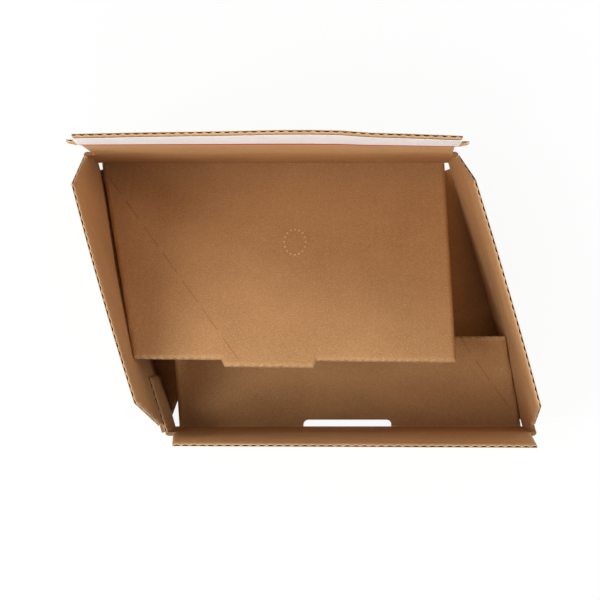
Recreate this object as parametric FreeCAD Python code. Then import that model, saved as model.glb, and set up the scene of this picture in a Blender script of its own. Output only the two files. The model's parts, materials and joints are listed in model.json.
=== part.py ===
import FreeCAD, Part
import math
import os
from FreeCAD import Vector

# A self-erecting corrugated box, standing half racked on its bottom creases with its four top
# flaps up. Lengths are in millimetres and angles in degrees. +Z is up, +X runs along the front
# and back walls, and the back wall, which carries the closure flap, is on the +Y side.

# Board
board = 3.0                  # thickness of the board
facing = 0.4                 # thickness of each flat facing
fluting = 0.35               # thickness of the waved paper between the facings
flute_pitch = 6.4            # from one wave to the next
flute_start = 9.0            # crushed length beside a fold, where the waves are closed

# Walls
box_width = 303.0            # inside, along the front and back walls
box_depth = 237.0            # inside, along the slanting side walls
wall_height = 82.0           # from what the box stands on to the axis of the rim creases
skew = 15.7                  # how far the corners are out of square

# Creases
crease_reach = 3.0           # length of board that thins towards a rim crease, on each side
crease_neck = 0.9            # length of the thin part beside the crease
crease_web = 0.8             # thickness of the board in the crease
crease_play = 0.3            # from the round root of a flap to the wall below it
crease_flat = 0.2            # how far a bottom crease is pressed flat by standing on it

# Joint tab, glued inside the left wall beside the front left corner
tab_width = 48.0
tab_play = 1.0               # above the side bottom flap, and to the front bottom flap

# Bottom flaps
back_bottom_length = 219.0
back_bottom_gap = 3.2        # from a corner to the end of its fold
back_bottom_taper = 1.1      # how much its right edge runs in
front_bottom_length = 101.5
front_bottom_gap = 2.0       # from the front right corner to the end of its fold
front_bottom_tab_gap = 3.5   # from the joint tab to its left edge
side_bottom_length = 95.0
side_bottom_relief = 6.5     # from an acute corner to the end of a side bottom fold
side_bottom_end = 8.5        # from an obtuse corner to the other end of that fold
wall_clearance = 0.8         # from the free corner of a raised bottom flap to the side wall
tongue_root = 75.0
tongue_tip = 70.0
tongue_length = 7.0
slot_play = 0.5              # beside the tongue in its slot, on each side
slot_depth = 6.0
slot_round = 4.5

# Pressed dashes across the two big bottom flaps
dash_angle = 60.0            # from the fold
dash_length = 21.0
dash_gap = 3.0
dash_width = 1.0
dash_depth = 0.25
dash_margin = 4.0            # kept clear at the corner and at the free edge

# Front top flap
front_flap_length = 128.5
front_flap_right_gap = 2.0   # from the right corner to the root
front_flap_left_gap = 7.0    # from the left corner to the root
front_flap_taper = 10.5      # how much each side edge runs in

# Side top flaps
dust_flap_length = 128.5
dust_flap_back_gap = 1.5
dust_flap_front_gap = 7.0
dust_flap_straight = 4.0     # length of the side edges before they run in
left_dust_corner = 33.0      # from a box corner to the straight free edge of the left flap
right_dust_corner = 30.0     # the same on the right flap
left_dust_lean = -0.5        # how far the left flap stands inwards, so it leans out a little
right_dust_lean = 2.5        # how far the right flap stands inwards

# Closure flap
closure_length = 210.0
closure_gap = 3.0            # from each corner to the root
closure_taper = 12.5         # how much each side edge runs in up to the lip
closure_lean = 2.3           # how far the panel stands inwards
lip_length = 39.0
lip_bend = 4.3               # how far the lip leans out from the panel
lip_inset = 9.0              # from each corner to the foot of the lip
ear_inset = 5.7              # from each corner to the tip of an ear
ear_rise = 7.0               # from the foot of the lip to the tip of an ear
ear_height = 9.5             # from the foot of the lip to the top of an ear
lip_tip_inset = 14.0         # from each corner to the free corner of the lip

# Tear strip, glue and its cover on the lip
tear_width = 4.7
tear_thickness = 0.2
glue_width = 22.0
glue_thickness = 0.25
cover_thickness = 0.25
strip_edge = 1.0             # from the edges of the lip, and from strip to strip

# Directions and corners
up = Vector(0, 0, 1)
along = Vector(1, 0, 0)
acute = 90.0 - skew
half_acute = math.radians(acute / 2)
side_way = Vector(math.sin(math.radians(skew)), -math.cos(math.radians(skew)), 0)
half_side = side_way * (box_depth / 2)
fold_height = board - crease_flat
rim = wall_height - fold_height
lift = up * fold_height
back_left = along * (-box_width / 2) - half_side + lift
back_right = along * (box_width / 2) - half_side + lift
front_right = along * (box_width / 2) + half_side + lift
front_left = along * (-box_width / 2) + half_side + lift

# Each side bottom flap has a fold at 45 degrees from its acute corner, and the triangle past
# that fold is glued under a big bottom flap. As the corner closes up, this linkage lifts all
# four bottom flaps by the same angle.
ridge_rise = math.acos(math.cos(math.radians(45)) / math.cos(half_acute))
bottom_tilt = math.atan(math.tan(ridge_rise) / math.sin(half_acute))


class Frame:
    """Axes of one panel: u along its fold, v away from the fold, w out of its inner face."""

    def __init__(self, origin, u, v):
        self.origin = origin
        self.u = Vector(u).normalize()
        self.v = Vector(v).normalize()
        self.w = self.u.cross(self.v)

    def point(self, u, v, w):
        return self.origin + self.u * u + self.v * v + self.w * w

    def shifted(self, u, v, w):
        return Frame(self.point(u, v, w), self.u, self.v)

    def leaning(self, degrees):
        """The same fold, with the panel turned towards its inner face."""
        turn = math.radians(degrees)
        return Frame(self.origin, self.u, self.v * math.cos(turn) + self.w * math.sin(turn))


def wall_frame(start, end):
    return Frame(start, end - start, up)


def bottom_frame(start, end):
    """A bottom flap raised from the foot of a wall; w points up out of its upper face."""
    u = (end - start).normalize()
    inward = up.cross(u)
    return Frame(start, u, inward * math.cos(bottom_tilt) + up * math.sin(bottom_tilt))


def face_of(points):
    return Part.Face(Part.makePolygon(points + points[:1]))


def plate(frame, outline, w_from, w_to):
    """A flat piece with the given (u, v) outline, between two levels of w."""
    corners = [frame.point(u, v, w_from) for u, v in outline]
    return face_of(corners).extrude(frame.w * (w_to - w_from))


def bar(frame, profile, u_from, u_to):
    """A straight piece with the given (v, w) profile, between two places along u."""
    corners = [frame.point(u_from, v, w) for v, w in profile]
    return face_of(corners).extrude(frame.u * (u_to - u_from))


def sector(centre, axis, first, last, radius):
    """A slice of a cylinder about axis, between two directions from its centre line."""
    middle = (first + last).normalize()
    arc = Part.Arc(centre + first * radius, centre + middle * radius, centre + last * radius)
    sides = [
        Part.LineSegment(centre, centre + first * radius).toShape(),
        arc.toShape(),
        Part.LineSegment(centre + last * radius, centre).toShape(),
    ]
    return Part.Face(Part.Wire(sides)).extrude(axis)


def tube(rings):
    """A closed solid through matching rings of points, with flat sides."""
    faces = [face_of(rings[0]), face_of(rings[-1])]
    for near, far in zip(rings, rings[1:]):
        for i, corner in enumerate(near):
            j = (i + 1) % len(near)
            faces.append(face_of([corner, near[j], far[j], far[i]]))
    solid = Part.Solid(Part.Shell(faces))
    if solid.Volume < 0:
        solid.reverse()
    return solid


def flute_cores(stations, u_from, u_to, w_middle):
    """The hollows of the waved paper. Each station gives a point for (u, w) along the waves."""
    base = flute_pitch / 2 - fluting
    skin = board / 2 - facing
    count = int((u_to - u_from - 2 * fluting) / flute_pitch)
    first = (u_from + u_to - (count - 1) * flute_pitch) / 2
    cores = []
    for i in range(2 * count - 1):
        centre = first + i * flute_pitch / 2
        side = 1 if i % 2 == 0 else -1
        triangle = [
            (centre - base, w_middle + side * skin),
            (centre + base, w_middle + side * skin),
            (centre, w_middle - side * (skin - fluting)),
        ]
        cores.append(tube([[station(u, w) for u, w in triangle] for station in stations]))
    return Part.Compound(cores)


def station(frame, v):
    return lambda u, w: frame.point(u, v, w)


def straight_cores(frame, u_from, u_to, v_from, v_to, w_middle):
    return flute_cores([station(frame, v_from), station(frame, v_to)], u_from, u_to, w_middle)


def joined(pieces):
    return pieces[0].multiFuse(pieces[1:]).removeSplitter()


def wall(frame, length):
    """A wall, thinned to a narrow crease along its rim."""
    middle = -board / 2
    profile = [
        (0, 0),
        (rim - crease_reach, 0),
        (rim - crease_neck, middle + crease_web / 2),
        (rim - crease_web / 2 - crease_play, middle + crease_web / 2),
        (rim - crease_web / 2 - crease_play, middle - crease_web / 2),
        (rim - crease_neck, middle - crease_web / 2),
        (rim - crease_reach, -board),
        (0, -board),
    ]
    return bar(frame, profile, 0, length)


def corner_post(corner, first_wall, second_wall):
    """The rounded outside of a vertical crease between two walls."""
    height = up * (rim - crease_reach)
    return sector(corner, height, first_wall.w * -1, second_wall.w * -1, board)


def bottom_crease(frame, u_from, u_to):
    """The rounded outside of a crease between a wall and its bottom flap."""
    outward = (up.cross(frame.u)) * -1
    return sector(
        frame.point(u_from, 0, 0), frame.u * (u_to - u_from), outward, frame.w * -1, board
    )


def dashes(frame, corner_u, way, length):
    """Short pressed grooves that cross a bottom flap from one corner of its fold."""
    run = length / math.sin(math.radians(dash_angle))
    u_step = way * math.cos(math.radians(dash_angle))
    v_step = math.sin(math.radians(dash_angle))
    line = Frame(
        frame.point(corner_u, 0, 0),
        frame.u * u_step + frame.v * v_step,
        frame.u * -v_step + frame.v * u_step,
    )
    depth = math.copysign(dash_depth, frame.w.dot(line.w))
    count = int((run - 2 * dash_margin + dash_gap) / (dash_length + dash_gap))
    grooves = []
    for i in range(count):
        begin = dash_margin + i * (dash_length + dash_gap)
        outline = [
            (begin, -dash_width / 2),
            (begin + dash_length, -dash_width / 2),
            (begin + dash_length, dash_width / 2),
            (begin, dash_width / 2),
        ]
        grooves.append(plate(line, outline, -depth, depth))
    return Part.Compound(grooves)


def back_bottom():
    """The big bottom flap with the tongue, raised from the foot of the back wall."""
    frame = bottom_frame(back_right, back_left)
    wall_run_in = back_bottom_length * math.cos(bottom_tilt) * math.tan(math.radians(skew))
    left_tip = box_width - wall_run_in - wall_clearance
    right_tip = back_bottom_gap + back_bottom_taper
    middle = box_width / 2
    end = back_bottom_length + tongue_length
    outline = [
        (back_bottom_gap, 0),
        (right_tip, back_bottom_length),
        (middle - tongue_root / 2, back_bottom_length),
        (middle - tongue_tip / 2, end),
        (middle + tongue_tip / 2, end),
        (middle + tongue_root / 2, back_bottom_length),
        (left_tip, back_bottom_length),
        (box_width - back_bottom_gap, 0),
    ]
    panel = plate(frame, outline, -board, 0)
    cores = straight_cores(frame, right_tip, left_tip, flute_start, end + 1, -board / 2)
    panel = panel.cut(cores)
    panel = panel.cut(dashes(frame, box_width, -1, back_bottom_length))
    crease = bottom_crease(frame, back_bottom_gap, box_width - back_bottom_gap)
    return [panel, crease]


def front_bottom():
    """The shorter bottom flap with the slot, raised from the foot of the front wall."""
    frame = bottom_frame(front_left, front_right)
    wall_run_in = front_bottom_length * math.cos(bottom_tilt) * math.tan(math.radians(skew))
    left_edge = board / math.cos(math.radians(skew)) + front_bottom_tab_gap
    right_tip = box_width - wall_run_in - wall_clearance
    outline = [
        (left_edge, 0),
        (box_width - front_bottom_gap, 0),
        (right_tip, front_bottom_length),
        (left_edge, front_bottom_length),
    ]
    panel = plate(frame, outline, -board, 0)
    first_open = flute_start + slot_depth
    cores = straight_cores(
        frame, left_edge, right_tip, first_open, front_bottom_length + 1, -board / 2
    )
    panel = panel.cut(cores)
    panel = panel.cut(dashes(frame, box_width, -1, front_bottom_length))
    crease = bottom_crease(frame, left_edge, box_width - front_bottom_gap)
    return [panel, crease]


def tongue_slot():
    """The slot at the front fold, as a plug to cut away, with its inner corners rounded."""
    half = tongue_root / 2 + slot_play
    left = front_left.x + box_width / 2 - half
    right = left + 2 * half
    near = front_left.y
    far = near + slot_depth
    turn = slot_round * (1 - math.cos(math.radians(45)))

    def at(x, y):
        return Vector(x, y, -board)

    sides = [
        Part.LineSegment(at(left, near), at(right, near)),
        Part.LineSegment(at(right, near), at(right, far - slot_round)),
        Part.Arc(
            at(right, far - slot_round), at(right - turn, far - turn), at(right - slot_round, far)
        ),
        Part.LineSegment(at(right - slot_round, far), at(left + slot_round, far)),
        Part.Arc(
            at(left + slot_round, far), at(left + turn, far - turn), at(left, far - slot_round)
        ),
        Part.LineSegment(at(left, far - slot_round), at(left, near)),
    ]
    outline = Part.Wire([side.toShape() for side in sides])
    top = slot_depth * math.tan(bottom_tilt) + fold_height + 2 * board
    return Part.Face(outline).extrude(up * (top + board))


def side_bottom(acute_corner, obtuse_corner, big_frame):
    """A side bottom flap, with its triangle glued under the big bottom flap beside it."""
    frame = bottom_frame(acute_corner, obtuse_corner)
    away = big_frame.u * -1
    ridge_start = board / (math.sin(bottom_tilt) * math.sin(math.radians(acute)))
    depth = side_bottom_length
    end = box_depth - side_bottom_end
    outline = [
        (side_bottom_relief, 0),
        (end, 0),
        (end - depth, depth),
        (ridge_start + depth, depth),
        (side_bottom_relief, side_bottom_relief - ridge_start),
    ]
    flap = plate(frame, outline, -board, 0)
    crease = bottom_crease(frame, side_bottom_relief, end)
    foot = frame.point(ridge_start, 0, 0)
    triangle = [
        frame.point(side_bottom_relief, side_bottom_relief - ridge_start, 0),
        frame.point(ridge_start + depth, depth, 0),
        foot + away * depth,
        foot + away * side_bottom_relief,
    ]
    glued = face_of(triangle).extrude(big_frame.w * -board)
    return [flap, crease, glued]


def joint_tab(left_frame):
    """The tab on the end of the front wall, glued inside the left wall, and its crease."""
    foot = board * math.tan(bottom_tilt) + tab_play
    top = rim - crease_reach
    corner = front_left + along * (board / math.cos(math.radians(skew)))
    start = -board * math.tan(math.radians(skew))
    end = start + tab_width
    outline = [(start, foot), (end, foot), (end, top), (start, top)]
    tab = plate(left_frame, outline, 0, board)
    cores = straight_cores(left_frame, start, end, foot - 1, top + 1, board / 2)
    post = sector(corner, up * top, Vector(0, -1, 0), left_frame.w * -1, board)
    return [tab.cut(cores), post]


def box_body(walls):
    back, right, front, left = walls
    tab_step = board / math.cos(math.radians(skew))
    pieces = [
        wall(back, box_width),
        wall(right, box_depth),
        wall(front, box_width - tab_step),
        wall(left, box_depth),
        corner_post(back_left, left, back),
        corner_post(back_right, back, right),
        corner_post(front_right, right, front),
    ]
    pieces += joint_tab(left)
    pieces += back_bottom()
    pieces += front_bottom()
    pieces += side_bottom(back_left, front_left, bottom_frame(back_right, back_left))
    pieces += side_bottom(front_right, back_right, bottom_frame(front_left, front_right))
    body = joined(pieces)
    body = body.cut(tongue_slot())
    reach = box_width + box_depth
    below = Part.makeBox(2 * reach, 2 * reach, board, Vector(-reach, -reach, -board))
    return body.cut(below)


def rim_frame(wall_axes, lean):
    """Axes of a top flap about its rim crease, in the middle of the board."""
    return wall_axes.shifted(0, rim, -board / 2).leaning(lean)


def flap_root(w_sign):
    """The thinned board beside a rim crease, from the crease axis to full thickness."""
    thin = w_sign * crease_web / 2
    return [(0, thin), (crease_neck, thin), (crease_reach, w_sign * board / 2)]


def rim_bead(frame, u_from, u_to):
    """The round root of a top flap, on its crease axis."""
    return Part.makeCylinder(
        crease_web / 2, u_to - u_from, frame.point(u_from, 0, 0), frame.u
    )


def top_flap(frame, outline, length, u_open):
    """A flat top flap with its waves open at the free edge between two places along u."""
    half = board / 2
    profile = flap_root(1) + [(length, half), (length, -half)] + flap_root(-1)[::-1]
    u_from = outline[0][0]
    u_to = outline[-1][0]
    flap = bar(frame, profile, u_from, u_to).common(plate(frame, outline, -board, board))
    cores = straight_cores(frame, u_open[0], u_open[1], flute_start, length + 1, 0)
    return joined([flap.cut(cores), rim_bead(frame, u_from, u_to)])


def front_flap(front):
    frame = rim_frame(front, 0)
    root_from = front_flap_right_gap
    root_to = box_width - front_flap_left_gap
    tip_from = root_from + front_flap_taper
    tip_to = root_to - front_flap_taper
    length = front_flap_length
    outline = [(root_from, 0), (tip_from, length), (tip_to, length), (root_to, 0)]
    return top_flap(frame, outline, length, (tip_from, tip_to))


def dust_flap(wall_axes, gap_from, gap_to, corner, lean):
    frame = rim_frame(wall_axes, lean)
    root_to = box_depth - gap_to
    length = dust_flap_length
    outline = [
        (gap_from, 0),
        (gap_from, dust_flap_straight),
        (corner, length),
        (box_depth - corner, length),
        (root_to, dust_flap_straight),
        (root_to, 0),
    ]
    return top_flap(frame, outline, length, (corner, box_depth - corner))


def lip_frame(frame):
    """Axes of the lip past the bend in the closure flap, with v still counted from the rim."""
    bend = closure_length - lip_length
    turned = frame.shifted(0, bend, 0).leaning(-lip_bend)
    return turned.shifted(0, -bend, 0)


def closure_flap(back):
    """The panel hinged on the back wall and its lip, which is one piece with it."""
    frame = rim_frame(back, closure_lean)
    lip = lip_frame(frame)
    bend = closure_length - lip_length
    half = board / 2
    skewed = half * math.tan(math.radians(lip_bend / 2))

    def lip_vw(v, w):
        offset = lip.point(0, v, w) - frame.origin
        return (offset.dot(frame.v), offset.dot(frame.w))

    profile = flap_root(1)
    profile += [(bend + skewed, half), lip_vw(closure_length, half)]
    profile += [lip_vw(closure_length, -half), (bend - skewed, -half)]
    profile += flap_root(-1)[::-1]
    panel_inset = closure_gap + closure_taper
    left_side = [
        (closure_gap, 0),
        (panel_inset, bend),
        (lip_inset, bend),
        (ear_inset, bend + ear_rise),
        (ear_inset, bend + ear_height),
        (lip_tip_inset, bend + ear_height),
        (lip_tip_inset, closure_length + 1),
    ]
    right_side = [(box_width - u, v) for u, v in reversed(left_side)]
    shape = bar(frame, profile, 0, box_width)
    shape = shape.common(plate(frame, left_side + right_side, -10 * board, 10 * board))

    def bend_point(u, w):
        return frame.point(u, bend + w * math.tan(math.radians(lip_bend / 2)), w)

    stations = [station(frame, flute_start), bend_point, station(lip, closure_length + 1)]
    open_from = max(panel_inset, lip_tip_inset)
    cores = flute_cores(stations, open_from, box_width - open_from, 0)
    bead = rim_bead(frame, closure_gap, box_width - closure_gap)
    return joined([shape.cut(cores), bead])


def lip_strip(lip, v_from, width, inset, level, thickness):
    """A thin strip along the inner face of the lip, standing off it by level."""
    outline = [
        (inset, v_from),
        (box_width - inset, v_from),
        (box_width - inset, v_from + width),
        (inset, v_from + width),
    ]
    return plate(lip, outline, board / 2 + level, board / 2 + level + thickness)


def lip_strips(back):
    """Tear strip at the foot of the lip, then the glue strip with its peel-off cover."""
    lip = lip_frame(rim_frame(back, closure_lean))
    bend = closure_length - lip_length
    tear_from = bend + strip_edge / 2
    cover_from = tear_from + tear_width + strip_edge / 2
    cover_width = closure_length - strip_edge - cover_from
    glue_from = cover_from + (cover_width - glue_width) / 2
    edge = lip_tip_inset + strip_edge
    return {
        "tear_strip": lip_strip(
            lip, tear_from, tear_width, closure_gap + closure_taper, 0, tear_thickness
        ),
        "adhesive_strip": lip_strip(
            lip, glue_from, glue_width, edge + strip_edge, 0, glue_thickness
        ),
        "release_liner": lip_strip(
            lip, cover_from, cover_width, edge, glue_thickness, cover_thickness
        ),
    }


def build():
    back = wall_frame(back_left, back_right)
    right = wall_frame(back_right, front_right)
    front = wall_frame(front_right, front_left)
    left = wall_frame(front_left, back_left)
    nodes = {
        "box_body": box_body([back, right, front, left]),
        "closure_flap": closure_flap(back),
        "front_flap": front_flap(front),
        "left_dust_flap": dust_flap(
            left, dust_flap_front_gap, dust_flap_back_gap, left_dust_corner, left_dust_lean
        ),
        "right_dust_flap": dust_flap(
            right, dust_flap_back_gap, dust_flap_front_gap, right_dust_corner, right_dust_lean
        ),
    }
    nodes.update(lip_strips(back))
    hinges = {
        "closure_flap": rim_frame(back, 0),
        "front_flap": rim_frame(front, 0),
        "left_dust_flap": rim_frame(left, 0),
        "right_dust_flap": rim_frame(right, 0),
    }
    return nodes, hinges


nodes, hinges = build()

# The origin is the middle of the foot of the whole part's box.
bounds = Part.Compound(list(nodes.values())).BoundBox
shift = Vector(-bounds.Center.x, -bounds.Center.y, -bounds.ZMin)

os.makedirs("parts", exist_ok=True)
for name, shape in nodes.items():
    shape.translate(shift)
    shape.exportStep("parts/" + name + ".step")
    print(name, "solids", len(shape.Solids), "volume", round(shape.Volume), shape.isValid())
for name, frame in hinges.items():
    place = frame.origin + shift
    print("hinge", name, [round(x, 4) for x in place], [round(x, 6) for x in frame.u])
print("bottom tilt", round(math.degrees(bottom_tilt), 2))
print("whole", bounds.XLength, bounds.YLength, bounds.ZLength)
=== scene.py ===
import json
import math
import random

import bpy
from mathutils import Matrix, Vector


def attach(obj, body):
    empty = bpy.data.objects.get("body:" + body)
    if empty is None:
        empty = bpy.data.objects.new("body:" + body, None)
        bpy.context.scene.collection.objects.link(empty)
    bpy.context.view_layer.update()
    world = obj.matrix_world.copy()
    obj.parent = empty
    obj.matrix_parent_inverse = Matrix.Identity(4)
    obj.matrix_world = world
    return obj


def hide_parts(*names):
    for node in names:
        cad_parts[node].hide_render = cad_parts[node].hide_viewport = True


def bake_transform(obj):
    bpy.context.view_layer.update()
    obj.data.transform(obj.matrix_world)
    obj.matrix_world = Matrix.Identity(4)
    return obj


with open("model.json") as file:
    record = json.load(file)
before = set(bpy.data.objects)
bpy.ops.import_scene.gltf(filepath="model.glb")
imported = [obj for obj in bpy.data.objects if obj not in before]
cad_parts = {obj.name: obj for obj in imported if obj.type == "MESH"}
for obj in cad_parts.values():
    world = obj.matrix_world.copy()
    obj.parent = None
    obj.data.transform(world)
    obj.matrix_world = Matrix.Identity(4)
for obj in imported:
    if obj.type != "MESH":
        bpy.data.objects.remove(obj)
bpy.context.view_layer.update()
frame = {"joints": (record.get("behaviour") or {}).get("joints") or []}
random.seed(7)

# Sizes in metres and angles in radians. Most repeat the sizes of the solids that the pieces
# stand for. Bows, twists, swings, crushed cuts and small shifts at corners are only here.

# Board
BOARD = 0.003
FACING = 0.0004
FLUTING = 0.0003
PITCH = 0.0064
STEPS_PER_WAVE = 8
FACING_RIPPLE = 0.00002      # how far the waves show through the facings
WAVE_SETBACK = 0.0002        # from a cut to the end of the waved paper
SHORTEST_WAVES = 0.002       # a column of board shorter than this shows no waves
CRUSH_WIDTH = 0.003          # how far in from a cut the board is crushed
SIDE_CRUSH = 0.0015          # depth at a cut along the waves
TOP_EDGE = (0.0009, 0.0007)  # depth at a cut across them, and what each wave adds
BOTTOM_EDGE = (0.0011, 0.001)
CRUSH_DRAWS = 80             # random depths before they repeat

# Walls and creases
WALL_HEIGHT = 0.082
FOLD_HEIGHT = BOARD - 0.0002
RIM = WALL_HEIGHT - FOLD_HEIGHT
CREASE_REACH = 0.003
BOWED_CREASE_REACH = 0.0068  # where the wall below is bowed
CREASE_WEB = 0.0009
CREASE_DIP = 0.0003

# Joint tab
TAB_WIDTH = 0.048
TAB_PLAY = 0.001

# Bottom flaps
OUTLINE_FOOT = 0.0005        # from a fold to the first corner of an outline
BACK_LENGTH = 0.219
BACK_GAP = 0.0032
BACK_TAPER = 0.0011
FRONT_LENGTH = 0.1015
FRONT_GAP = 0.0014
FRONT_TAB_GAP = 0.0028
SIDE_LENGTH = 0.095
SIDE_RELIEF = 0.0065
LEFT_SIDE_END = 0.0085
LEFT_SIDE_NOTCH = (0.001, 0.001)
RIGHT_SIDE_END = 0.0053
RIGHT_SIDE_NOTCH = (0.0008, 0.0069)
BACK_CLEARANCE = -0.0014
BACK_TWIST = (math.radians(-0.5), math.radians(1.04))
TONGUE_ROOT = 0.075
TONGUE_TIP = 0.070
TONGUE_LENGTH = 0.007
SLOT_WIDTH = 0.076
SLOT_DEPTH = 0.006
SLOT_ROUND = 0.0045
BEAD_RADIUS = 0.0004
BEAD_SIDES = 6

# Pressed dashes across the two big bottom flaps
DASH_ANGLE = math.radians(60)
DASH_LENGTH = 0.026
DASH_GAP = 0.009
DASH_WIDTH = 0.001
DASH_DEPTH = 0.0002
BACK_FIRST_DASH = 0.0187
FRONT_FIRST_DASH = 0.029
HAIR = 0.00001               # width of a step in an outline
SHORTEST_COLUMN = 0.0002     # a facing's column shorter than this is left out

# Front and side top flaps
FRONT_FLAP_LENGTH = 0.1285
FRONT_FLAP_GAPS = (0.002, 0.007)
FRONT_FLAP_TAPERS = (0.0105, 0.0093)
DUST_LENGTH = 0.1285
DUST_GAPS = {"back": 0.0015, "front": 0.007}
DUST_STRAIGHT = 0.004
LEFT_CORNER = 0.033
RIGHT_CORNER = 0.030
LEFT_LEAN = math.radians(-0.3)
RIGHT_LEAN = math.radians(2.9)
LEFT_SWING = (-0.0013, 0.0)
RIGHT_SWING = (0.0, 0.0017)
FRONT_SWING = (0.0, -0.0014)
LEFT_BOW = 0.0024
RIGHT_BOW = 0.0016

# Closure flap
CLOSURE_LENGTH = 0.210
CLOSURE_GAPS = (0.005, 0.0025)
CLOSURE_INSETS = (0.0137, 0.0152)
CLOSURE_LEAN = math.radians(2.3)
CLOSURE_SINK = 0.0001
LIP_LENGTH = 0.039
LIP_BEND = math.radians(4.3)
LIP_INSET = 0.009
EAR_INSET = 0.0057
EAR_RISE = 0.007
EAR_HEIGHT = 0.0095
LIP_TIP_INSET = 0.0132
LIP_BOW = 0.0041
LIP_SHAPE = [
    (0, 0), (0.2, 0.4), (0.4, 0.7), (0.52, 0.94), (0.6, 1), (0.67, 0.93), (0.74, 0.58),
    (0.86, 0.35), (1, 0),
]
LIP_BOW_POWER = 5.5
MITRE_POWER = 8
CLOSURE_TWIST = (0.0008, 0.0024)
CLOSURE_SIDE_STEP = 0.0023

# Tear strip, glue and its cover
TEAR_WIDTH = 0.0056
TEAR_THICKNESS = 0.0002
GLUE_WIDTH = 0.022
GLUE_THICKNESS = 0.00025
COVER_THICKNESS = 0.00025
STRIP_EDGE = 0.001
STRIP_LIFT = 0.00003
STRIP_STEPS = 60

# Punched ring
RING_CENTRE = (0.1321, 0.0937)
RING_RADII = (0.009, 0.0145)
DOT_RADIUS = 0.0008
DOT_COUNT = 16
DOT_SIDES = 8
DOT_LEVELS = [(1.0, -0.0001), (0.8, 0.0003), (0.4, 0.0004)]

# Places of the papers in BOARD_PAPERS
KRAFT, CUT, WAVE, CUT_SHADE, DASH_SHADE = 0, 1, 2, 3, 4

UP = Vector((0, 0, 1))
hinges = {joint["child"]: joint for joint in frame["joints"]}


class Panel:
    """Axes of one panel: u along its fold, v away from the fold, w out of its inner face."""

    def __init__(self, origin, u, v):
        self.origin = Vector(origin)
        self.u = Vector(u).normalized()
        self.v = Vector(v).normalized()
        self.w = self.u.cross(self.v)

    def __call__(self, u, v, w):
        return self.origin + self.u * u + self.v * v + self.w * w

    def leaning(self, turn):
        return Panel(self.origin, self.u, self.v * math.cos(turn) + self.w * math.sin(turn))


def rim_panel(body, lean=0.0):
    """A top flap's axes about its rim crease, with w counted from the middle of the board."""
    joint = hinges[body]
    return Panel(joint["pos_m"], joint["axis"], UP).leaning(lean)


def wall_panel(body):
    rim = rim_panel(body)
    return Panel(rim(0, -RIM, BOARD / 2), rim.u, UP)


back_wall = wall_panel("closure")
right_wall = wall_panel("right_dust")
front_wall = wall_panel("front")
left_wall = wall_panel("left_dust")
back_left = back_wall.origin
back_right = right_wall.origin
front_right = front_wall.origin
front_left = left_wall.origin
WIDTH = (back_right - back_left).length
DEPTH = (front_right - back_right).length
SKEW = math.asin(right_wall.u.x)
ACUTE = math.radians(90) - SKEW
RIDGE_RISE = math.acos(math.cos(math.radians(45)) / math.cos(ACUTE / 2))
TILT = math.atan(math.tan(RIDGE_RISE) / math.sin(ACUTE / 2))


def bottom_panel(start, end):
    """A bottom flap raised from the foot of a wall; w points up out of its upper face."""
    u = (end - start).normalized()
    inward = UP.cross(u)
    return Panel(start, u, inward * math.cos(TILT) + UP * math.sin(TILT))


class Builder:
    """Collects the faces of one piece, with its place on the board kept for each corner."""

    def __init__(self, name, materials):
        self.name = name
        self.materials = materials
        self.points = []
        self.board = []
        self.faces = []
        self.slots = []

    def point(self, place, u, v, w):
        self.points.append(place(u, v, w))
        self.board.append((u, v, w))
        return len(self.points) - 1

    def face(self, corners, slot):
        self.faces.append(corners)
        self.slots.append(slot)

    def finish(self):
        mesh = bpy.data.meshes.new(self.name)
        mesh.from_pydata([tuple(p) for p in self.points], [], self.faces)
        for material in self.materials:
            mesh.materials.append(material)
        mesh.polygons.foreach_set("material_index", self.slots)
        mesh.polygons.foreach_set("use_smooth", [True] * len(self.faces))
        attribute = mesh.attributes.new("board", "FLOAT_VECTOR", "POINT")
        attribute.data.foreach_set("vector", [x for row in self.board for x in row])
        mesh.validate()
        mesh.set_sharp_from_angle(angle=math.radians(35))
        piece = bpy.data.objects.new(self.name, mesh)
        bpy.context.collection.objects.link(piece)
        return piece


def rows_between(low, high, slope, count):
    """Places along the waves, closer together where the cut has crushed the board."""
    span = high - low
    band = min(CRUSH_WIDTH * 1.1 * math.sqrt(1 + slope * slope), span * 0.5)
    rows = [low + (span - band) * i / count for i in range(count + 1)]
    return rows + [high - band * 0.6, high - band * 0.3, high - band * 0.1, high]


def distance_to(edges, u, v):
    """How far a point of the board is from the nearest cut edge."""
    nearest = 1.0
    for (u_a, v_a), (u_b, v_b) in edges:
        along_u, along_v = u_b - u_a, v_b - v_a
        length = along_u * along_u + along_v * along_v
        part = ((u - u_a) * along_u + (v - v_a) * along_v) / length
        part = max(0.0, min(1.0, part))
        nearest = min(nearest, math.hypot(u - u_a - part * along_u, v - v_a - part * along_v))
    return nearest


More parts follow.
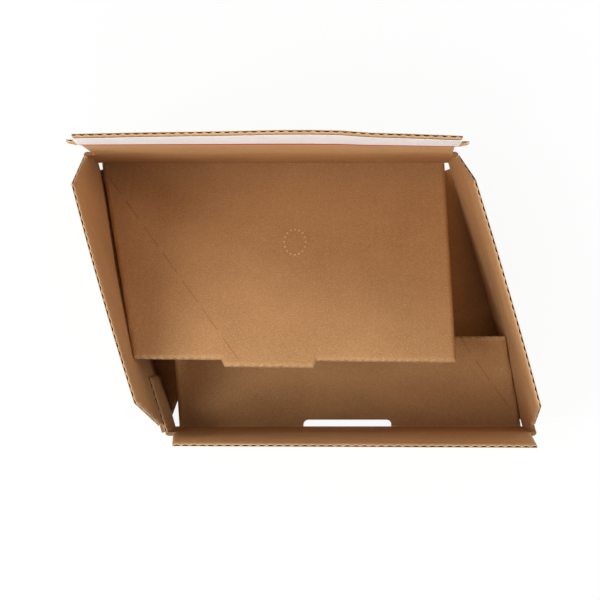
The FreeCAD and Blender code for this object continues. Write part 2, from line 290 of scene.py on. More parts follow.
def sheet(builder, place, columns, level, thickness, slot, rows=5):
    """A thin closed sheet through columns of (u, low v, high v), at a level of (u, v)."""
    grids = [[], []]
    last = len(columns) - 1
    for i, (u, low, high) in enumerate(columns):
        before, after = columns[max(i - 1, 0)], columns[min(i + 1, last)]
        slope = (after[2] - before[2]) / (after[0] - before[0])
        lines = ([], [])
        for v in rows_between(low, high, slope, rows):
            w = level(u, v)
            for side in (0, 1):
                point = builder.point(place, u, v, w + (side - 0.5) * thickness)
                lines[side].append(point)
        grids[0].append(lines[0])
        grids[1].append(lines[1])
    lower, upper = grids
    for i in range(last):
        for j in range(len(upper[0]) - 1):
            a, b = upper[i][j], upper[i + 1][j]
            c, d = upper[i + 1][j + 1], upper[i][j + 1]
            builder.face((a, b, c, d), slot)
            a, b = lower[i][j], lower[i + 1][j]
            c, d = lower[i + 1][j + 1], lower[i][j + 1]
            builder.face((d, c, b, a), slot)
        builder.face((lower[i][0], lower[i + 1][0], upper[i + 1][0], upper[i][0]), CUT)
        builder.face((upper[i][-1], upper[i + 1][-1], lower[i + 1][-1], lower[i][-1]), CUT)
    for j in range(len(upper[0]) - 1):
        builder.face((lower[0][j + 1], lower[0][j], upper[0][j], upper[0][j + 1]), CUT)
        builder.face(
            (lower[last][j], lower[last][j + 1], upper[last][j + 1], upper[last][j]), CUT
        )


def span_columns(low_edge, high_edge, u_from, u_to, stops=()):
    """Columns a fixed share of a wave apart, and at each stop."""
    count = max(2, int((u_to - u_from) / (PITCH / STEPS_PER_WAVE)))
    places = {round(u_from + (u_to - u_from) * i / count, 7) for i in range(count + 1)}
    places |= {round(stop, 7) for stop in stops if u_from < stop < u_to}
    return [(u, low_edge(u), high_edge(u)) for u in sorted(places)]


def ramp(u, points):
    """Straight runs through (u, value) points."""
    for (u_a, a), (u_b, b) in zip(points, points[1:]):
        if u <= u_b:
            return a if u_b == u_a else a + (b - a) * max(0.0, u - u_a) / (u_b - u_a)
    return points[-1][1]


def wave(u):
    return math.sin(2 * math.pi * u / PITCH)


def runs_along_waves(edge):
    steep = 6
    (u_a, v_a), (u_b, v_b) = edge
    return abs(v_b - v_a) > steep * abs(u_b - u_a)


def crushed(edges, u, v):
    """How far the cut has crushed the board at a point, from 0 to 1."""
    near = max(0.0, 1 - distance_to(edges, u, v) / CRUSH_WIDTH)
    return near * near


class Board:
    """Corrugated board: two facings and the waved paper between them, crushed at its cuts."""

    def __init__(self, edges, crush, w_middle=0.0):
        self.sides = [edge for edge in edges if runs_along_waves(edge)]
        self.ends = [edge for edge in edges if not runs_along_waves(edge)]
        self.base, self.per_wave = crush
        self.w_middle = w_middle
        self.depths = [random.uniform(0.6, 1.3) for _ in range(CRUSH_DRAWS)]

    def inner(self, u, v):
        ripple = FACING_RIPPLE * (1 - wave(u))
        per_wave = self.per_wave * self.depths[int(u / PITCH) % CRUSH_DRAWS]
        dent = crushed(self.ends, u, v) * (self.base + per_wave * (1 - wave(u)) / 2)
        dent = max(dent, crushed(self.sides, u, v) * SIDE_CRUSH)
        return self.w_middle + BOARD / 2 - FACING / 2 - ripple - dent

    def outer(self, u, v):
        return self.w_middle - BOARD / 2 + FACING / 2 + FACING_RIPPLE * (1 + wave(u))

    def middle(self, u, v):
        swing = BOARD / 2 - FACING - FLUTING / 2
        ceiling = self.inner(u, v) - (FACING + FLUTING) / 2
        return min(self.w_middle + swing * wave(u), ceiling)

    def build(self, builder, place, columns, rows=5, inner=True):
        if inner:
            sheet(builder, place, columns, self.inner, FACING, KRAFT, rows)
        sheet(builder, place, columns, self.outer, FACING, KRAFT, rows)
        inside = [
            (u, low, high - WAVE_SETBACK)
            for u, low, high in columns
            if high - low > SHORTEST_WAVES
        ]
        # The waved paper takes the near-black paper of slot WAVE, painted shade for the hollows
        # between the waves.
        sheet(builder, place, inside, self.middle, FLUTING, WAVE, rows)


def chain(points):
    return list(zip(points, points[1:]))


def block(builder, place, outline, w_from, w_to, slot=KRAFT, sides=CUT):
    """A plain slab with a (u, v) outline."""
    low = [builder.point(place, u, v, w_from) for u, v in outline]
    high = [builder.point(place, u, v, w_to) for u, v in outline]
    builder.face(tuple(high), slot)
    builder.face(tuple(reversed(low)), slot)
    for i in range(len(outline)):
        j = (i + 1) % len(outline)
        builder.face((low[i], low[j], high[j], high[i]), sides)


def curved_slab(builder, place, u_from, u_to, v_to, w_from, w_to, steps=24):
    """A slab that follows a bowed wall, its top in dark paper as painted shade for the hollows of
    the cut board.
    """
    rings = []
    for i in range(steps + 1):
        u = u_from + (u_to - u_from) * i / steps
        corners = ((0, w_from), (0, w_to), (v_to, w_to), (v_to, w_from))
        rings.append([builder.point(place, u, v, w) for v, w in corners])
    for near, far in zip(rings, rings[1:]):
        for i in range(4):
            j = (i + 1) % 4
            # The top face is painted shade for the hollows of the cut board.
            builder.face((near[i], near[j], far[j], far[i]), CUT_SHADE if i == 2 else KRAFT)
    builder.face(tuple(reversed(rings[0])), KRAFT)
    builder.face(tuple(rings[-1]), KRAFT)


def bend(builder, centre, axis, first, last, radius, length, steps=8):
    """The rounded outside of a crease: a slice of a cylinder about axis, level with the floor."""
    turn = first.angle(last)
    side = axis.cross(first).normalized()
    if side.dot(last) < 0:
        side = -side

    def place(u, v, w):
        angle = v * turn
        spot = centre + axis * u + (first * math.cos(angle) + side * math.sin(angle)) * w
        spot.z = max(spot.z, 0.0)
        return spot

    rings = []
    for u in (0, length):
        ring = [builder.point(place, u, 0, 0)]
        ring += [builder.point(place, u, i / steps, radius) for i in range(steps + 1)]
        rings.append(ring)
    near, far = rings
    count = len(near)
    for i in range(count):
        j = (i + 1) % count
        builder.face((near[i], far[i], far[j], near[j]), KRAFT)
    # The two end faces are painted shade for the hollows of the cut board.
    builder.face(tuple(near), CUT_SHADE)
    builder.face(tuple(reversed(far)), CUT_SHADE)


def bottom_bend(builder, panel, u_from, u_to):
    outward = -UP.cross(panel.u)
    bend(builder, panel(u_from, 0, 0), panel.u, outward, -panel.w, BOARD, u_to - u_from)


# Materials


def node(tree, kind, **values):
    made = tree.nodes.new(kind)
    for key, value in values.items():
        setattr(made, key, value)
    return made


def noise(tree, source, scale, detail, roughness=0.6):
    made = node(tree, "ShaderNodeTexNoise")
    made.inputs["Scale"].default_value = scale
    made.inputs["Detail"].default_value = detail
    made.inputs["Roughness"].default_value = roughness
    tree.links.new(source, made.inputs["Vector"])
    return made.outputs["Fac"]


def mixed(tree, factor, first, second):
    made = node(tree, "ShaderNodeMix", data_type="RGBA")
    tree.links.new(factor, made.inputs["Factor"])
    for value, socket in ((first, "A"), (second, "B")):
        target = [s for s in made.inputs if s.name == socket and s.type == "RGBA"][0]
        if isinstance(value, tuple):
            target.default_value = (*value, 1)
        else:
            tree.links.new(value, target)
    return [s for s in made.outputs if s.type == "RGBA"][0]


def graded(tree, value, low, high):
    """A factor that runs from 0 to 1 as value runs from low to high."""
    made = node(tree, "ShaderNodeMapRange", clamp=True)
    made.inputs["From Min"].default_value = low
    made.inputs["From Max"].default_value = high
    tree.links.new(value, made.inputs["Value"])
    return made.outputs["Result"]


def material(name, roughness, specular=0.3):
    made = bpy.data.materials.new(name)
    made.use_nodes = True
    tree = made.node_tree
    shader = tree.nodes["Principled BSDF"]
    shader.inputs["Roughness"].default_value = roughness
    shader.inputs["Specular IOR Level"].default_value = specular
    return made, tree, shader


def kraft_paper(name, base, pale, dark, bump):
    """Kraft paper: cloudy tone, long fibres, pale and dark specks, and faint waves below."""
    made, tree, shader = material(name, 0.82, 0.25)
    place = node(tree, "ShaderNodeTexCoord").outputs["Object"]
    board = node(tree, "ShaderNodeAttribute", attribute_name="board").outputs["Vector"]
    stretch = node(tree, "ShaderNodeMapping")
    stretch.inputs["Scale"].default_value = (1.0, 0.28, 1.0)
    tree.links.new(board, stretch.inputs["Vector"])
    clouds = noise(tree, place, 18, 3)
    grain = noise(tree, place, 950, 3, 0.8)
    fibre = noise(tree, stretch.outputs["Vector"], 1500, 3, 0.7)
    specks = noise(tree, place, 620, 2, 0.5)
    tone = mixed(tree, graded(tree, clouds, 0.25, 0.6), dark, base)
    tone = mixed(tree, graded(tree, grain, 0.45, 0.8), tone, pale)
    tone = mixed(tree, graded(tree, fibre, 0.6, 0.95), tone, pale)
    tone = mixed(tree, graded(tree, specks, 0.27, 0.15), tone, dark)
    tree.links.new(tone, shader.inputs["Base Color"])
    split = node(tree, "ShaderNodeSeparateXYZ")
    tree.links.new(board, split.inputs["Vector"])
    ridge = node(tree, "ShaderNodeMath", operation="MULTIPLY")
    ridge.inputs[1].default_value = 2 * math.pi / PITCH
    tree.links.new(split.outputs["X"], ridge.inputs[0])
    waves = node(tree, "ShaderNodeMath", operation="SINE")
    tree.links.new(ridge.outputs[0], waves.inputs[0])
    height = node(tree, "ShaderNodeMath", operation="MULTIPLY_ADD")
    height.inputs[1].default_value = 0.06
    tree.links.new(waves.outputs[0], height.inputs[0])
    tree.links.new(grain, height.inputs[2])
    relief = node(tree, "ShaderNodeBump")
    relief.inputs["Strength"].default_value = bump
    relief.inputs["Distance"].default_value = 0.0004
    tree.links.new(height.outputs[0], relief.inputs["Height"])
    tree.links.new(relief.outputs["Normal"], shader.inputs["Normal"])
    return made


def smooth_paper(name, base, shade, roughness, specular):
    """Coated paper or film: nearly even, with faint cloudiness and a soft sheen."""
    made, tree, shader = material(name, roughness, specular)
    place = node(tree, "ShaderNodeTexCoord").outputs["Object"]
    clouds = noise(tree, place, 45, 3)
    tone = mixed(tree, graded(tree, clouds, 0.35, 0.7), shade, base)
    tree.links.new(tone, shader.inputs["Base Color"])
    relief = node(tree, "ShaderNodeBump")
    relief.inputs["Strength"].default_value = 0.12
    relief.inputs["Distance"].default_value = 0.0003
    tree.links.new(noise(tree, place, 160, 3), relief.inputs["Height"])
    tree.links.new(relief.outputs["Normal"], shader.inputs["Normal"])
    return made


kraft = kraft_paper(
    "kraft", (0.524, 0.283, 0.118), (0.73, 0.472, 0.244), (0.452, 0.236, 0.094), 0.45
)
cut_paper = kraft_paper(
    "cut_edge", (0.62, 0.42, 0.25), (0.72, 0.52, 0.34), (0.5, 0.32, 0.18), 0.5
)
# The waved paper is near-black: painted shade for the hollows between the waves; the real paper
# is tan like the facings.
fluting_painted_shade = kraft_paper(
    "fluting_shaded_hollows", (0.11, 0.055, 0.025), (0.17, 0.09, 0.04), (0.07, 0.035, 0.015), 0.3
)
white_liner = smooth_paper(
    "release_paper", (0.93, 0.9, 0.895), (0.87, 0.845, 0.845), 0.38, 0.5
)
red_film = smooth_paper("tear_film", (0.58, 0.035, 0.01), (0.48, 0.025, 0.008), 0.5, 0.15)
glue = smooth_paper("hot_melt", (0.78, 0.7, 0.52), (0.7, 0.6, 0.4), 0.35, 0.5)
# Dark paper on slab tops and bend ends: painted shade for the hollows of cut board, not pressed
# paper.
cut_painted_shade = kraft_paper(
    "pressed", (0.27, 0.14, 0.06), (0.36, 0.2, 0.09), (0.2, 0.1, 0.04), 0.2
)
dot_paper = kraft_paper("dots", (0.82, 0.62, 0.4), (0.9, 0.75, 0.55), (0.7, 0.5, 0.3), 0.2)
# Darker paper for the pressed dashes: painted shade in their shallow grooves.
dash_painted_shade = kraft_paper(
    "dash_groove_shade", (0.42, 0.225, 0.095), (0.55, 0.33, 0.165), (0.35, 0.18, 0.075), 0.2
)
BOARD_PAPERS = [kraft, cut_paper, fluting_painted_shade, cut_painted_shade, dash_painted_shade]


# Box body


def bowed(panel, length, bow, height):
    """A panel's surface, bowed outwards between its ends and straight at its foot."""

    def place(u, v, w):
        t = max(0.0, min(1.0, u / length))
        return panel(u, v, w - bow * 4 * t * (1 - t) * min(1.0, v / height))

    return place


def wall_slab(builder, place, length, reach=CREASE_REACH):
    curved_slab(builder, place, 0, length, RIM - reach, -BOARD, 0)


def back_bottom_place(panel):
    """The back bottom flap's surface, a little twisted between its ends."""

    def place(u, v, w):
        right, left = BACK_TWIST
        turn = right + (left - right) * u / WIDTH
        return panel.leaning(turn)(u, v, w)

    return place


def back_bottom_edge():
    run_in = BACK_LENGTH * math.cos(TILT) * math.tan(SKEW)
    middle = WIDTH / 2
    end = BACK_LENGTH + TONGUE_LENGTH
    return [
        (BACK_GAP, OUTLINE_FOOT),
        (BACK_GAP + BACK_TAPER, BACK_LENGTH),
        (middle - TONGUE_ROOT / 2, BACK_LENGTH),
        (middle - TONGUE_TIP / 2, end),
        (middle + TONGUE_TIP / 2, end),
        (middle + TONGUE_ROOT / 2, BACK_LENGTH),
        (WIDTH - run_in - BACK_CLEARANCE, BACK_LENGTH),
        (WIDTH - BACK_GAP, OUTLINE_FOOT),
    ]


def front_bottom_edge():
    run_in = FRONT_LENGTH * math.cos(TILT) * math.tan(SKEW)
    left = BOARD / math.cos(SKEW) + FRONT_TAB_GAP
    return [
        (left, 0.0),
        (left, FRONT_LENGTH),
        (WIDTH - run_in, FRONT_LENGTH),
        (WIDTH - FRONT_GAP, OUTLINE_FOOT),
    ]


def slot_depth(u):
    """How far up the front bottom flap the slot reaches at u."""
    inset = SLOT_WIDTH / 2 - abs(u - WIDTH / 2)
    if inset <= 0:
        return 0.0
    depth = SLOT_DEPTH
    if inset < SLOT_ROUND:
        depth -= SLOT_ROUND - math.sqrt(SLOT_ROUND ** 2 - (SLOT_ROUND - inset) ** 2)
    return depth / math.cos(TILT)


def side_bottom(builder, acute_corner, obtuse_corner, big, big_place, end_gap, notch):
    """A side bottom flap and its triangle, glued under the big bottom flap beside it."""
    panel = bottom_panel(acute_corner, obtuse_corner)
    start = BOARD / (math.sin(TILT) * math.sin(ACUTE))
    end = DEPTH - end_gap
    run, rise = notch
    lift = SIDE_RELIEF - start
    outline = [
        (SIDE_RELIEF, 0),
        (end, 0),
        (end - run, rise),
        (end - SIDE_LENGTH, SIDE_LENGTH),
        (start + SIDE_LENGTH, SIDE_LENGTH),
        (SIDE_RELIEF, lift),
    ]
    block(builder, panel, outline, -BOARD, 0)
    bottom_bend(builder, panel, SIDE_RELIEF, end)
    foot = panel(start, 0, 0) - big.origin
    u, v = foot.dot(big.u), foot.dot(big.v)
    outline = [
        (u - lift, v + lift),
        (u - SIDE_LENGTH, v + SIDE_LENGTH),
        (u - SIDE_LENGTH, v),
        (u - SIDE_RELIEF, v),
    ]
    block(builder, big_place, outline, -2 * BOARD, -BOARD)


def crossings(edge, offset):
    """Places where the line of dashes, moved by offset, meets the flap's edge."""
    slope = math.tan(DASH_ANGLE)
    places = []
    for (u_a, v_a), (u_b, v_b) in chain(edge):
        over_a = v_a - (WIDTH - u_a) * slope - offset
        over_b = v_b - (WIDTH - u_b) * slope - offset
        if over_a * over_b < 0:
            places.append(u_a + (u_b - u_a) * over_a / (over_a - over_b))
    return places


def dashed_facing(builder, board, place, low_edge, edge, top, stops, rows, first_dash):
    """The upper facing of a bottom flap, with its slanting row of dashes pressed into it."""
    slope = math.tan(DASH_ANGLE)
    half = DASH_WIDTH / 2 / math.cos(DASH_ANGLE)

    def line(u):
        return (WIDTH - u) * slope

    def top_edge(u):
        return ramp(u, top)

    def pressed(u, v):
        return board.inner(u, v) - DASH_DEPTH

    kinks = crossings(edge, -half) + crossings(edge, half)
    u_from, u_to = edge[0][0], edge[-1][0]
    below, above = [], []
    for u, low, high in span_columns(low_edge, top_edge, u_from, u_to, stops + kinks):
        below.append((u, low, min(high, line(u) - half)))
        if high >= line(u) + half - HAIR:
            above.append((u, line(u) + half, max(high, line(u) + half + HAIR)))
    below = [column for column in below if column[2] > column[1] + SHORTEST_COLUMN]
    sheet(builder, place, below, board.inner, FACING, KRAFT, rows)
    sheet(builder, place, above, board.inner, FACING, KRAFT, rows)

    far_end, u = min(kinks), max(kinks)
    run = math.cos(DASH_ANGLE)
    next_u = WIDTH - first_dash * run
    in_dash = False
    while u > far_end:
        next_u = max(next_u, far_end)
        band = span_columns(
            lambda u: line(u) - half,
            lambda u: min(line(u), top_edge(u)) + half,
            next_u,
            u,
        )
        # A dash is pressed down and takes the darker paper, painted shade for its groove.
        level, slot = (pressed, DASH_SHADE) if in_dash else (board.inner, KRAFT)
        sheet(builder, place, band, level, FACING, slot, 1)
        u = next_u
        in_dash = not in_dash
        next_u = u - (DASH_LENGTH if in_dash else DASH_GAP) * run


def punched_ring(place):
    """A ring of small punched dots on the back bottom flap."""
    builder = Builder("punched_ring", [dot_paper])
    for i in range(DOT_COUNT):
        turn = 2 * math.pi * i / DOT_COUNT
        u = RING_CENTRE[0] + RING_RADII[0] * math.sin(turn)
        v = RING_CENTRE[1] + RING_RADII[1] * math.cos(turn)
        rings = []
        for reach, w in DOT_LEVELS:
            ring = []
            for k in range(DOT_SIDES):
                angle = 2 * math.pi * k / DOT_SIDES
                out_u = DOT_RADIUS * reach * math.cos(angle)
                out_v = DOT_RADIUS * reach * math.sin(angle)
                ring.append(builder.point(place, u + out_u, v + out_v, w))
            rings.append(ring)
        for near, far in zip(rings, rings[1:]):
            for k in range(DOT_SIDES):
                j = (k + 1) % DOT_SIDES
                builder.face((near[k], near[j], far[j], far[k]), 0)
        builder.face(tuple(rings[-1]), 0)
        builder.face(tuple(reversed(rings[0])), 0)
    piece = builder.finish()
    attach(piece, "box")


def fold_bead(builder, panel, u_from, u_to):
    """The raised bead that the press leaves along the inside of a fold."""
    rings = []
    for u in (u_from, u_to):
        ring = []
        for k in range(BEAD_SIDES):
            angle = 2 * math.pi * k / BEAD_SIDES
            v = BEAD_RADIUS + BEAD_RADIUS * math.cos(angle)
            w = BEAD_RADIUS * 0.5 + BEAD_RADIUS * math.sin(angle)
            ring.append(builder.point(panel, u, v, w))
        rings.append(ring)
    near, far = rings
    for k in range(BEAD_SIDES):
        j = (k + 1) % BEAD_SIDES
        builder.face((near[k], near[j], far[j], far[k]), CUT)
    builder.face(tuple(reversed(near)), CUT)
    builder.face(tuple(far), CUT)


def box_shell():
    builder = Builder("box_shell", BOARD_PAPERS)
    tab_step = BOARD / math.cos(SKEW)
    left_place = bowed(left_wall, DEPTH, LEFT_BOW, RIM / 2)
    wall_slab(builder, back_wall, WIDTH)
    wall_slab(builder, bowed(right_wall, DEPTH, RIGHT_BOW, RIM), DEPTH, BOWED_CREASE_REACH)
    wall_slab(builder, front_wall, WIDTH - tab_step)
    wall_slab(builder, left_place, DEPTH, BOWED_CREASE_REACH)
    post = RIM - CREASE_REACH
    bend(builder, back_left, UP, -left_wall.w, -back_wall.w, BOARD, post)
    bend(builder, back_right, UP, -back_wall.w, -right_wall.w, BOARD, post)
    bend(builder, front_right, UP, -right_wall.w, -front_wall.w, BOARD, post)
    tab_corner = front_wall(WIDTH - tab_step, 0, 0)
    bend(builder, tab_corner, UP, -front_wall.w, -left_wall.w, BOARD, post)
    foot = BOARD * math.tan(TILT) + TAB_PLAY
    start = -BOARD * math.tan(SKEW)
    end = start + TAB_WIDTH
    tab = Board(chain([(start, post), (end, post), (end, foot)]), TOP_EDGE, BOARD / 2)
    tab.build(builder, left_place, span_columns(lambda u: foot, lambda u: post, start, end))

    back = bottom_panel(back_right, back_left)
    back_place = back_bottom_place(back)
    edge = back_bottom_edge()
    back_board = Board(chain(edge), BOTTOM_EDGE, -BOARD / 2)
    stops = [u for u, v in edge]
    columns = span_columns(lambda u: 0.0, lambda u: ramp(u, edge), stops[0], stops[-1], stops)
    back_board.build(builder, back_place, columns, 12, inner=False)
    dashed_facing(
        builder, back_board, back_place, lambda u: 0.0, edge, edge, stops, 12, BACK_FIRST_DASH
    )
    bottom_bend(builder, back, BACK_GAP, WIDTH - BACK_GAP)

    front = bottom_panel(front_left, front_right)
    edge = front_bottom_edge()
    slot_left = WIDTH / 2 - SLOT_WIDTH / 2
    slot_right = WIDTH / 2 + SLOT_WIDTH / 2
    stops = [slot_left, slot_left + HAIR, slot_right - HAIR, slot_right, edge[2][0]]
    columns = span_columns(
        slot_depth, lambda u: ramp(u, edge[1:]), edge[0][0], edge[-1][0], stops
    )
    front_board = Board(chain(edge), BOTTOM_EDGE, -BOARD / 2)
    front_board.build(builder, front, columns, 8, inner=False)
    dashed_facing(
        builder, front_board, front, slot_depth, edge, edge[1:], stops, 8, FRONT_FIRST_DASH
    )
    bottom_bend(builder, front, edge[0][0], slot_left)
    bottom_bend(builder, front, slot_right, edge[-1][0])
    fold_bead(builder, front, edge[0][0], slot_left)
    fold_bead(builder, front, slot_right, edge[-1][0])
    side_bottom(
        builder, back_left, front_left, back, back_place, LEFT_SIDE_END, LEFT_SIDE_NOTCH
    )
    side_bottom(
        builder, front_right, back_right, front, front, RIGHT_SIDE_END, RIGHT_SIDE_NOTCH
    )
    punched_ring(back_place)
    return builder.finish()


# Top flaps


def flap_board(builder, place, edge, reach=CREASE_REACH, rows=8):
    """The board of a top flap above its crease; edge gives its outline from root to root."""
    points = [(u, max(v, reach + OUTLINE_FOOT)) for u, v in edge]
    stops = [u for u, v in points]
    columns = span_columns(
        lambda u: reach, lambda u: ramp(u, points), stops[0], stops[-1], stops
    )
    Board(chain(points), TOP_EDGE).build(builder, place, columns, rows)


def crease(name, lower, upper, axes, u_from, u_to, reach=CREASE_REACH):
    """The pinched paper of a rim crease, which joins the wall to its flap."""
    builder = Builder(name, BOARD_PAPERS)
    across = 16
    steps = 24
    rings = []
    for i in range(steps + 1):
        u = u_from + (u_to - u_from) * i / steps
        front, back = [], []
        for k in range(across + 1):
            v = reach * (2 * k / across - 1)
            pinch = math.cos(math.pi / 2 * min(1.0, abs(v) / CREASE_REACH)) ** 2
            place = upper if v > 0 else lower
            inner = BOARD / 2 - CREASE_DIP * pinch
            outer = inner - BOARD + (BOARD - CREASE_DIP - CREASE_WEB) * pinch + CREASE_DIP * pinch
            front.append(builder.point(place, u, v, inner))
            back.append(builder.point(place, u, v, outer))
        rings.append(front + back[::-1])
    count = len(rings[0])
    for near, far in zip(rings, rings[1:]):
        for k in range(count):
            j = (k + 1) % count
            builder.face((near[k], far[k], far[j], near[j]), KRAFT)
    builder.face(tuple(rings[0]), KRAFT)
    builder.face(tuple(reversed(rings[-1])), KRAFT)
    piece = builder.finish()
    bending = 0.6 * reach
    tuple(axes(0, -bending, 0))
    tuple(axes(0, bending, 0))
    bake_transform(piece)


def rim_places(axes, length, lean, bow, swing):
    """The surfaces below and above the rim crease of a bowed wall.

    The flap above swings out by the two amounts of swing at the start and end of its tip.
    """
    turned = axes.leaning(lean)

    def out(u):
        t = max(0.0, min(1.0, u / length))
        return bow * 4 * t * (1 - t)

    def lower(u, v, w):
        return axes(u, v, w - out(u))

    def upper(u, v, w):
        start, end = swing
        amount = (start + (end - start) * u / length) * v / DUST_LENGTH
        return turned(u, v, w - out(u) - amount)

    return lower, upper


def closure_places(axes):
    """The surfaces below and above the closure flap's crease.

    The flap leans in, more at one end, and its lip bends back and bows out.
    """
    panel = axes.leaning(CLOSURE_LEAN)
    bend_v = CLOSURE_LENGTH - LIP_LENGTH
    lip = Panel(panel(0, bend_v, 0), panel.u, panel.v).leaning(-LIP_BEND)
    mitre = math.tan(LIP_BEND / 2)

    def upper(u, v, w):
        t = max(0.0, min(1.0, u / WIDTH))
        rise = v / CLOSURE_LENGTH
        at_left, at_right = CLOSURE_TWIST
        w += rise * (at_left + (at_right - at_left) * t)
        w -= LIP_BOW * ramp(t, LIP_SHAPE) * rise ** LIP_BOW_POWER
        u += CLOSURE_SIDE_STEP * rise
        v -= CLOSURE_SINK * rise
        if v <= bend_v:
            return panel(u, v + mitre * w * (v / bend_v) ** MITRE_POWER, w)
        past = v - bend_v
        return lip(u, past - mitre * w * (1 - past / LIP_LENGTH), w)

    return axes, upper


def closure_flap(place):
    """The closure flap's panel, its lip and the two ears at the foot of the lip."""
    bend_v = CLOSURE_LENGTH - LIP_LENGTH
    left_gap, right_gap = CLOSURE_GAPS
    builder = Builder("closure_board", BOARD_PAPERS)
    outline = [
        (left_gap, CREASE_REACH + OUTLINE_FOOT),
        (CLOSURE_INSETS[0], bend_v),
        (WIDTH - CLOSURE_INSETS[1], bend_v),
        (WIDTH - right_gap, CREASE_REACH + OUTLINE_FOOT),
    ]
    stops = [u for u, v in outline]
    columns = span_columns(
        lambda u: CREASE_REACH, lambda u: ramp(u, outline), stops[0], stops[-1], stops
    )
    sides = [(outline[0], outline[1]), (outline[2], outline[3])]
    Board(sides, TOP_EDGE).build(builder, place, columns, 8)

    ear_top = bend_v + EAR_HEIGHT
    left_end = [
        (LIP_INSET, bend_v),
        (EAR_INSET, bend_v + EAR_RISE),
        (EAR_INSET, ear_top),
        (LIP_TIP_INSET, ear_top),
        (LIP_TIP_INSET, CLOSURE_LENGTH),
    ]
    right_end = [(WIDTH - u, v) for u, v in reversed(left_end)]
    board = Board(chain(left_end + right_end), TOP_EDGE)
    columns = span_columns(
        lambda u: bend_v, lambda u: CLOSURE_LENGTH, LIP_TIP_INSET, WIDTH - LIP_TIP_INSET
    )
    board.build(builder, place, columns, 4)
    slant = [(EAR_INSET, bend_v + EAR_RISE), (LIP_INSET, bend_v), (LIP_TIP_INSET, bend_v)]
    ear = span_columns(
        lambda u: ramp(u, slant), lambda u: ear_top, EAR_INSET, LIP_TIP_INSET, [LIP_INSET]
    )
    board.build(builder, place, ear, 3)
    other = [(WIDTH - u, low_v, high_v) for u, low_v, high_v in reversed(ear)]
    board.build(builder, place, other, 3)
    return builder.finish()


def lip_strip(name, place, paper, v_from, width, inset, level, thickness):
    """A thin strip along the inner face of the lip."""
    builder = Builder(name, [paper, paper, paper])
    columns = []
    for i in range(STRIP_STEPS + 1):
        u = inset + (WIDTH - 2 * inset) * i / STRIP_STEPS
        columns.append((u, v_from, v_from + width))
    w = BOARD / 2 + level + thickness / 2 + STRIP_LIFT
    sheet(builder, place, columns, lambda u, v: w, thickness, 0, 2)
    return builder.finish()


def dress(piece, body, solid):
    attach(piece, body)
    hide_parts(solid)


dress(box_shell(), "box", "box_body")

front_axes = rim_panel("front")
root_from = FRONT_FLAP_GAPS[0]
root_to = WIDTH - FRONT_FLAP_GAPS[1]
front_lower, front_upper = rim_places(front_axes, WIDTH, 0.0, 0.0, FRONT_SWING)
front_builder = Builder("front_board", BOARD_PAPERS)
flap_board(front_builder, front_upper, [
    (root_from, CREASE_REACH),
    (root_from + FRONT_FLAP_TAPERS[0], FRONT_FLAP_LENGTH),
    (root_to - FRONT_FLAP_TAPERS[1], FRONT_FLAP_LENGTH),
    (root_to, CREASE_REACH),
])
dress(front_builder.finish(), "front", "front_flap")
crease("front_crease", front_lower, front_upper, front_axes, root_from, root_to)


def dust_flap(side, lean, bow, swing, corner, gap_from, gap_to):
    body = side + "_dust"
    axes = rim_panel(body)
    lower, upper = rim_places(axes, DEPTH, lean, bow, swing)
    part = (BOWED_CREASE_REACH - DUST_STRAIGHT) / (DUST_LENGTH - DUST_STRAIGHT)
    builder = Builder(side + "_dust_board", BOARD_PAPERS)
    flap_board(builder, upper, [
        (gap_from + (corner - gap_from) * part, BOWED_CREASE_REACH),
        (corner, DUST_LENGTH),
        (DEPTH - corner, DUST_LENGTH),
        (DEPTH - gap_to - (corner - gap_to) * part, BOWED_CREASE_REACH),
    ], BOWED_CREASE_REACH)
    dress(builder.finish(), body, side + "_dust_flap")
    crease(
        side + "_dust_crease", lower, upper, axes, gap_from, DEPTH - gap_to,
        BOWED_CREASE_REACH,
    )


dust_flap(
    "left", LEFT_LEAN, LEFT_BOW, LEFT_SWING, LEFT_CORNER, DUST_GAPS["front"], DUST_GAPS["back"]
)
dust_flap(
    "right", RIGHT_LEAN, RIGHT_BOW, RIGHT_SWING, RIGHT_CORNER, DUST_GAPS["back"],
    DUST_GAPS["front"],
)

closure_axes = rim_panel("closure")
closure_lower, closure_upper = closure_places(closure_axes)
dress(closure_flap(closure_upper), "closure", "closure_flap")
crease(
    "closure_crease", closure_lower, closure_upper, closure_axes,
    CLOSURE_GAPS[0], WIDTH - CLOSURE_GAPS[1],
)

tear_from = CLOSURE_LENGTH - LIP_LENGTH + STRIP_EDGE / 2
cover_from = tear_from + TEAR_WIDTH + STRIP_EDGE / 2
cover_width = CLOSURE_LENGTH - STRIP_EDGE - cover_from
glue_from = cover_from + (cover_width - GLUE_WIDTH) / 2
cover_inset = LIP_TIP_INSET + STRIP_EDGE / 5
dress(
    lip_strip(
        "tear_tape", closure_upper, red_film, tear_from, TEAR_WIDTH, CLOSURE_INSETS[1], 0,
        TEAR_THICKNESS,
    ),
    "closure", "tear_strip",
)
dress(
    lip_strip(
        "glue_line", closure_upper, glue, glue_from, GLUE_WIDTH, cover_inset + STRIP_EDGE, 0,
        GLUE_THICKNESS,
    ),
    "closure", "adhesive_strip",
)
dress(
    lip_strip(
        "peel_off_cover", closure_upper, white_liner, cover_from, cover_width, cover_inset,
        GLUE_THICKNESS, COVER_THICKNESS,
    ),
    "closure", "release_liner",
)


# Stage, lights and camera

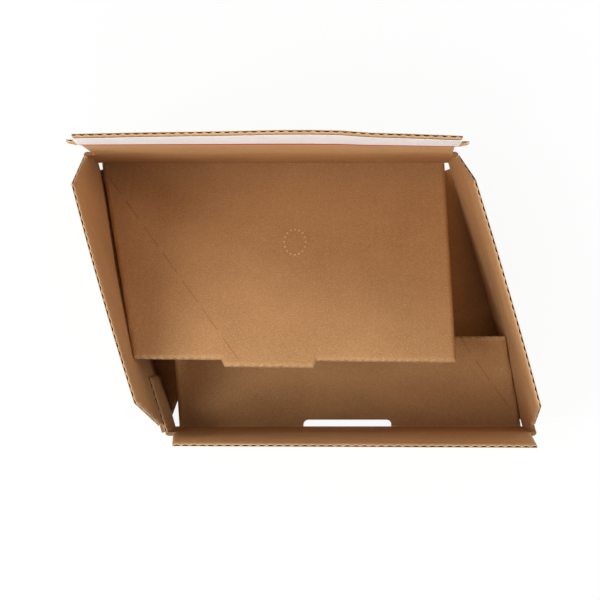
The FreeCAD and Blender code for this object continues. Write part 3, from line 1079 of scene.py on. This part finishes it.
WORLD_STRENGTH = 0.42
FLOOR_WHITENESS = 0.92
FLOOR_REACH = 3.0
LAMP_SIZE = 0.9
LAMP_AIM = (0, 0, 0.1)
LAMPS = [
    ("left_high", (-1.1, -0.3, 2.1), 25),
    ("front_low", (0.0, -2.1, 1.2), 19),
    ("front_high", (0.0, -1.6, 1.9), 5),
    ("right", (1.9, -0.1, 1.6), 12),
    ("left_back", (-1.3, 1.2, 1.7), 9),
]
SENSOR_MM = 36.0
FOCAL_PX = 1800.0
FRAME_PX = 600.0
METRES_PER_PX = 0.0008662
NADIR_PX = (315.0, 310.0)
CENTRE_PX = (310.35, 294.6)


def seen_factor(tree):
    """1 for the eye and for glossy surfaces, 0 for light that falls on the part."""
    path = node(tree, "ShaderNodeLightPath")
    either = node(tree, "ShaderNodeMath", operation="MAXIMUM")
    tree.links.new(path.outputs["Is Camera Ray"], either.inputs[0])
    tree.links.new(path.outputs["Is Glossy Ray"], either.inputs[1])
    return either.outputs[0]


def white_world():
    world = bpy.data.worlds.new("studio")
    world.use_nodes = True
    tree = world.node_tree
    tree.nodes.clear()
    seen = node(tree, "ShaderNodeBackground")
    seen.inputs["Color"].default_value = (1, 1, 1, 1)
    lit = node(tree, "ShaderNodeBackground")
    lit.inputs["Color"].default_value = (1, 1, 1, 1)
    lit.inputs["Strength"].default_value = WORLD_STRENGTH
    mix = node(tree, "ShaderNodeMixShader")
    tree.links.new(seen_factor(tree), mix.inputs["Fac"])
    tree.links.new(lit.outputs[0], mix.inputs[1])
    tree.links.new(seen.outputs[0], mix.inputs[2])
    out = node(tree, "ShaderNodeOutputWorld")
    tree.links.new(mix.outputs[0], out.inputs["Surface"])
    bpy.context.scene.world = world


def floor_sheet():
    """A white floor that keeps a faint shadow."""
    made, tree, shader = material("floor", 0.9, 0.0)
    shader.inputs["Base Color"].default_value = (0.9, 0.9, 0.9, 1)
    glow = node(tree, "ShaderNodeEmission")
    glow.inputs["Color"].default_value = (1, 1, 1, 1)
    part = node(tree, "ShaderNodeMath", operation="MULTIPLY")
    part.inputs[1].default_value = FLOOR_WHITENESS
    tree.links.new(seen_factor(tree), part.inputs[0])
    mix = node(tree, "ShaderNodeMixShader")
    tree.links.new(part.outputs[0], mix.inputs["Fac"])
    tree.links.new(shader.outputs[0], mix.inputs[1])
    tree.links.new(glow.outputs[0], mix.inputs[2])
    tree.links.new(mix.outputs[0], tree.nodes["Material Output"].inputs["Surface"])
    builder = Builder("floor", [made])
    corners = [(-1, -1), (1, -1), (1, 1), (-1, 1)]
    flat = Panel((0, 0, 0), (1, 0, 0), (0, 1, 0))
    points = [builder.point(flat, FLOOR_REACH * u, FLOOR_REACH * v, 0) for u, v in corners]
    builder.face(tuple(points), 0)
    builder.finish()


def lamp(name, place, power):
    data = bpy.data.lights.new(name, "AREA")
    data.shape = "SQUARE"
    data.size = LAMP_SIZE
    data.energy = power
    piece = bpy.data.objects.new(name, data)
    piece.location = place
    aim = Vector(LAMP_AIM) - Vector(place)
    piece.rotation_euler = aim.to_track_quat("-Z", "Y").to_euler()
    bpy.context.collection.objects.link(piece)


def camera():
    """A camera that looks straight down, with the point below it off the picture's middle."""
    data = bpy.data.cameras.new("camera")
    data.sensor_width = SENSOR_MM
    data.lens = data.sensor_width * FOCAL_PX / FRAME_PX
    data.clip_end = 20.0
    data.shift_x = (FRAME_PX / 2 - NADIR_PX[0]) / FRAME_PX
    data.shift_y = (NADIR_PX[1] - FRAME_PX / 2) / FRAME_PX
    piece = bpy.data.objects.new("camera", data)
    piece.location = (
        (NADIR_PX[0] - CENTRE_PX[0]) * METRES_PER_PX,
        -(NADIR_PX[1] - CENTRE_PX[1]) * METRES_PER_PX,
        FOCAL_PX * METRES_PER_PX + FOLD_HEIGHT,
    )
    bpy.context.collection.objects.link(piece)
    bpy.context.scene.camera = piece


white_world()
floor_sheet()
for name, place, power in LAMPS:
    lamp(name, place, power)
camera()
bpy.context.scene.view_settings.view_transform = "Standard"
